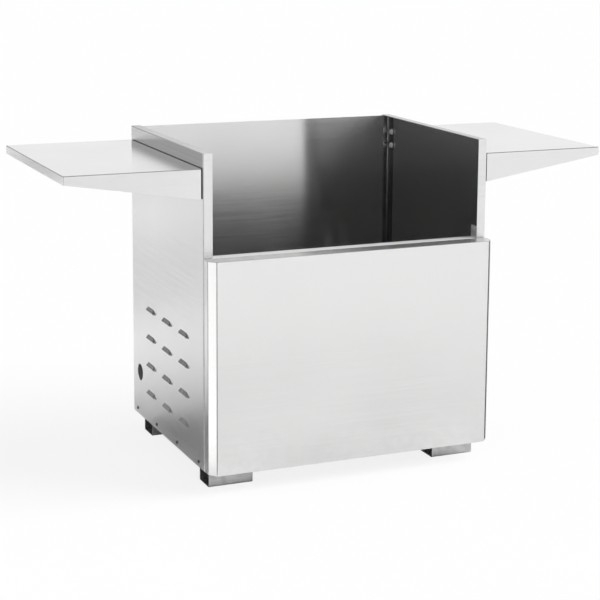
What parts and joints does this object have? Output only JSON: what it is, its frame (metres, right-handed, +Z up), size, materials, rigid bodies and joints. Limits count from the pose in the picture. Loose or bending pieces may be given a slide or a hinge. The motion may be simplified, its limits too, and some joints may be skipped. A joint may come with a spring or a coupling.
{
  "type": "grill pedestal",
  "caption": "Folded stainless-steel pedestal for a drop-in grill: open top bay, louvred side panels, hinged bevelled front door, tapered side shelves and channel feet.",
  "frame": {"origin": "on the floor, in the middle of the pedestal's outline in X and Y", "axes": "+X to the right seen from the front, along both shelves; +Y from the door to the rear panel; +Z up"},
  "size_m": [1.58, 0.6798, 0.91],
  "materials": {
    "panel_steel": "brushed",
    "door_steel": "brushed, fine",
    "fastener_steel": "satin",
    "pad_rubber": "matte",
    "magnet_plastic": "matte"
  },
  "bodies": {
    "cabinet": {"left_side_panel": "panel_steel", "right_side_panel": "panel_steel", "rear_panel": "panel_steel", "base_pan": "panel_steel", "front_header_rail": "panel_steel", "header_rail_nuts": "fastener_steel", "front_left_foot": "panel_steel", "front_right_foot": "panel_steel", "rear_left_foot": "panel_steel", "rear_right_foot": "panel_steel", "foot_bolts": "fastener_steel", "foot_nuts": "fastener_steel", "left_base_screws": "fastener_steel", "right_base_screws": "fastener_steel", "rear_panel_screws": "fastener_steel", "left_shelf_top": "panel_steel", "left_shelf_underside": "panel_steel", "left_shelf_root_angle": "panel_steel", "left_shelf_pad": "pad_rubber", "left_shelf_bolts": "fastener_steel", "left_shelf_nuts": "fastener_steel", "right_shelf_top": "panel_steel", "right_shelf_underside": "panel_steel", "right_shelf_root_angle": "panel_steel", "right_shelf_pad": "pad_rubber", "right_shelf_bolts": "fastener_steel", "right_shelf_nuts": "fastener_steel", "hinge_cabinet_leaf": "fastener_steel", "hinge_pin": "fastener_steel", "door_magnets": "magnet_plastic"},
    "door": {"door_skin": "door_steel", "door_stiffener": "panel_steel", "hinge_door_leaf": "fastener_steel", "door_strikes": "fastener_steel"}
  },
  "joints": [
    {"name": "door_hinge", "type": "hinge", "parent": "cabinet", "child": "door", "pos_m": [0.4218, -0.2862, 0.3425], "axis": [0, 0, 1], "range_deg": [0, 180]}
  ]
}
